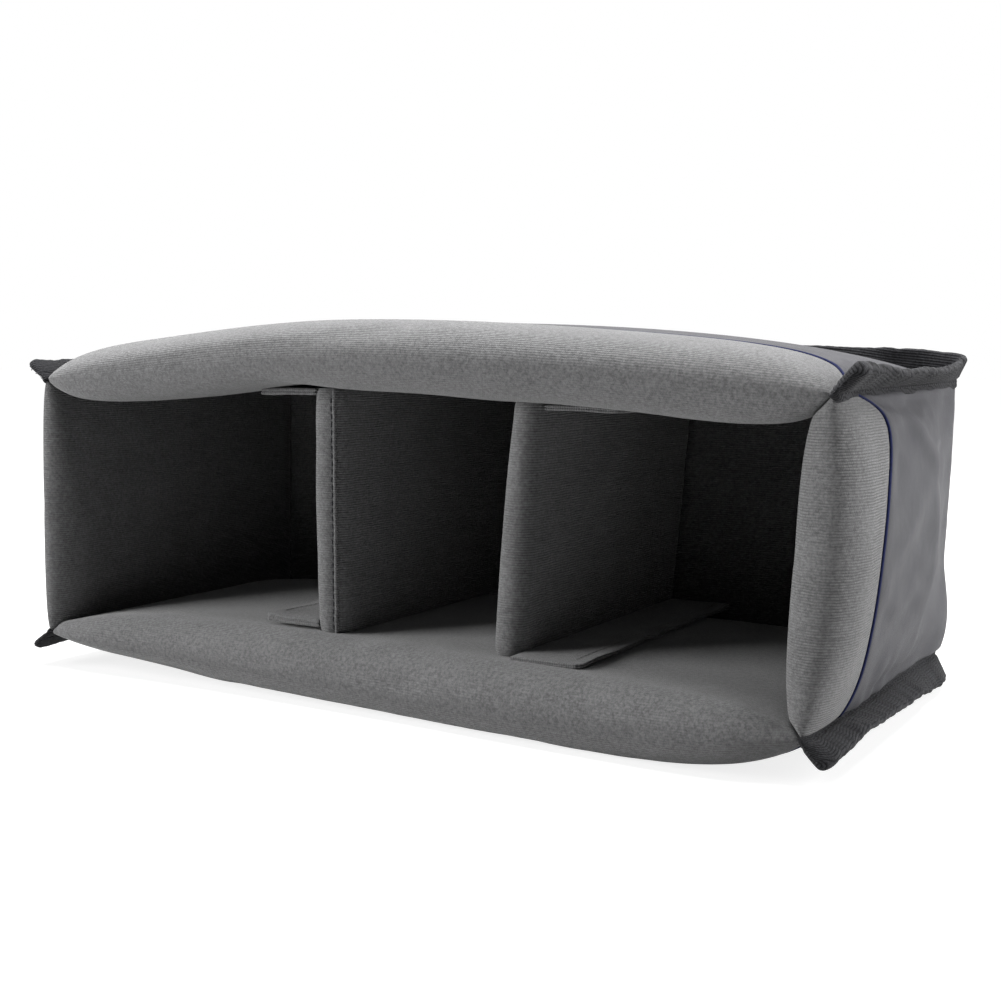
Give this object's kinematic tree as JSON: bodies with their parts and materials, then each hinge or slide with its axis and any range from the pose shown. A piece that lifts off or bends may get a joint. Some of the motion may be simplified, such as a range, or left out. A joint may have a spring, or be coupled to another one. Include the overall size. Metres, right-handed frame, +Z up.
{
  "type": "padded camera insert",
  "caption": "Padded open-sided insert for a bag, with knit-lined foam walls, a nylon shell, taped seams and removable dividers held by hook tabs.",
  "frame": {"origin": "centre of the flat patch that the insert rests on, under the middle of its lower long wall, on the floor", "axes": "+X along the insert's length, to the right when looking in; +Y into the box, from its open side to its base; +Z up, from the lower long wall to the upper one"},
  "size_m": [0.3618, 0.1717, 0.1469],
  "materials": {
    "lining_knit": "fine ribbed loop knit, matt grey",
    "shell_nylon": "coated plain-weave nylon, charcoal, low sheen",
    "binding_tape": "ribbed woven tape, near black, matt",
    "navy_trim": "dark navy turned edge, matt",
    "tab_fabric": "grey knit, matt",
    "hook_tape": "black hook tape, matt",
    "pad_foam": "closed-cell foam, pale grey"
  },
  "bodies": {
    "box": {"lining_top": "lining_knit", "edge_trim_top": "navy_trim", "shell_top": "shell_nylon", "foam_top": "pad_foam", "lining_bottom": "lining_knit", "edge_trim_bottom": "navy_trim", "shell_bottom": "shell_nylon", "foam_bottom": "pad_foam", "lining_left": "lining_knit", "edge_trim_left": "navy_trim", "shell_left": "shell_nylon", "foam_left": "pad_foam", "lining_right": "lining_knit", "edge_trim_right": "navy_trim", "shell_right": "shell_nylon", "foam_right": "pad_foam", "lining_base": "lining_knit", "shell_base": "shell_nylon", "foam_base": "pad_foam", "binding_top": "binding_tape", "binding_bottom": "binding_tape"},
    "left_divider": {"left_divider_cover": "lining_knit", "left_divider_foam": "pad_foam", "left_divider_bottom_strip": "tab_fabric", "left_divider_top_strip": "tab_fabric"},
    "left_bottom_tab": {"left_divider_bottom_tab": "tab_fabric", "left_divider_bottom_hook": "hook_tape"},
    "left_top_tab": {"left_divider_top_tab": "tab_fabric", "left_divider_top_hook": "hook_tape"},
    "right_divider": {"right_divider_cover": "lining_knit", "right_divider_foam": "pad_foam", "right_divider_bottom_strip": "tab_fabric", "right_divider_top_strip": "tab_fabric"},
    "right_bottom_tab": {"right_divider_bottom_tab": "tab_fabric", "right_divider_bottom_hook": "hook_tape"},
    "right_top_tab": {"right_divider_top_tab": "tab_fabric", "right_divider_top_hook": "hook_tape"}
  },
  "joints": [
    {"name": "left_divider_slide", "type": "slide", "parent": "box", "child": "left_divider", "axis": [0, -1, 0], "range_m": [0, 0.165]},
    {"name": "right_divider_slide", "type": "slide", "parent": "box", "child": "right_divider", "axis": [0, -1, 0], "range_m": [0, 0.165]},
    {"name": "left_bottom_tab_fold", "type": "hinge", "parent": "left_divider", "child": "left_bottom_tab", "pos_m": [-0.03355, 0.0007, 0.03024], "axis": [0, 1, 0], "range_deg": [0, 78]},
    {"name": "left_top_tab_fold", "type": "hinge", "parent": "left_divider", "child": "left_top_tab", "pos_m": [-0.03479, 0.0007, 0.11445], "axis": [0, -1, 0], "range_deg": [0, 78]},
    {"name": "right_bottom_tab_fold", "type": "hinge", "parent": "right_divider", "child": "right_bottom_tab", "pos_m": [0.0571, 0.0007, 0.02981], "axis": [0, -1, 0], "range_deg": [0, 78]},
    {"name": "right_top_tab_fold", "type": "hinge", "parent": "right_divider", "child": "right_top_tab", "pos_m": [0.06605, 0.0007, 0.11262], "axis": [0, 1, 0], "range_deg": [0, 78]}
  ]
}
